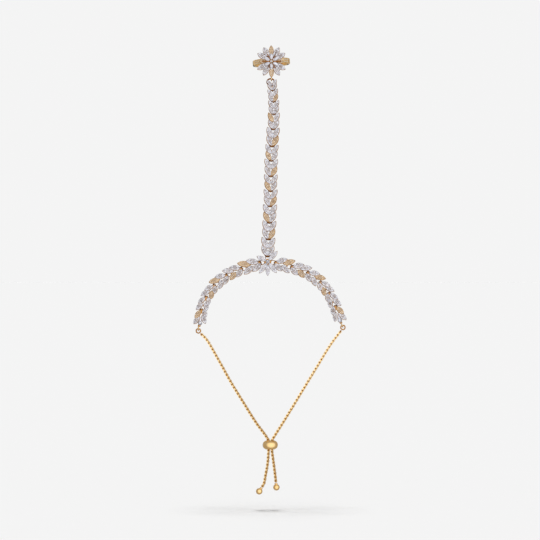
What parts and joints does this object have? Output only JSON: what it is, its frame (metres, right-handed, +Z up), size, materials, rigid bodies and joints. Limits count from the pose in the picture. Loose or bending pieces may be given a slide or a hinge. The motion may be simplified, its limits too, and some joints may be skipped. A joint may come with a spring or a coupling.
{
  "type": "hand harness",
  "caption": "Hand harness: finger ring with a starburst head, a chain of stone-set leaf links, a centre flower with two leafy arms, and gold wrist chains through a slider bead.",
  "frame": {"origin": "centre of the ring's finger hole, where the piece is held", "axes": "+Z up along the finger, with the chain hanging towards -Z; +X to the right as seen from the jewelled front; the jewelled front faces -Y and the ring's hoop stands behind it towards +Y"},
  "size_m": [0.0808, 0.0249, 0.2381],
  "materials": {
    "gold_plate": "polished yellow gold plate",
    "white_pave": "white plated tops set with small clear stones, on yellow gold plated walls"
  },
  "bodies": {
    "root": {"ring": "gold_plate", "ring_connector": "gold_plate", "end_ring_left": "gold_plate", "end_ring_right": "gold_plate", "wrist_chain_left": "gold_plate", "wrist_chain_right": "gold_plate", "slider_bead": "gold_plate", "ball_end_left": "gold_plate", "ball_end_right": "gold_plate", "finger_link_01": "white_pave", "finger_link_02": "white_pave", "finger_link_03": "white_pave", "finger_link_04": "white_pave", "finger_link_05": "white_pave", "finger_link_06": "white_pave", "finger_link_07": "white_pave", "finger_link_08": "white_pave", "finger_link_09": "white_pave", "finger_link_10": "white_pave", "finger_link_11": "white_pave", "finger_link_12": "white_pave", "centre_flower": "white_pave", "arm_left_link_1": "white_pave", "arm_left_link_2": "white_pave", "arm_left_link_3": "white_pave", "arm_left_link_4": "white_pave", "arm_left_link_5": "white_pave", "arm_left_link_6": "white_pave", "arm_right_link_1": "white_pave", "arm_right_link_2": "white_pave", "arm_right_link_3": "white_pave", "arm_right_link_4": "white_pave", "arm_right_link_5": "white_pave", "arm_right_link_6": "white_pave"}
  },
  "joints": []
}
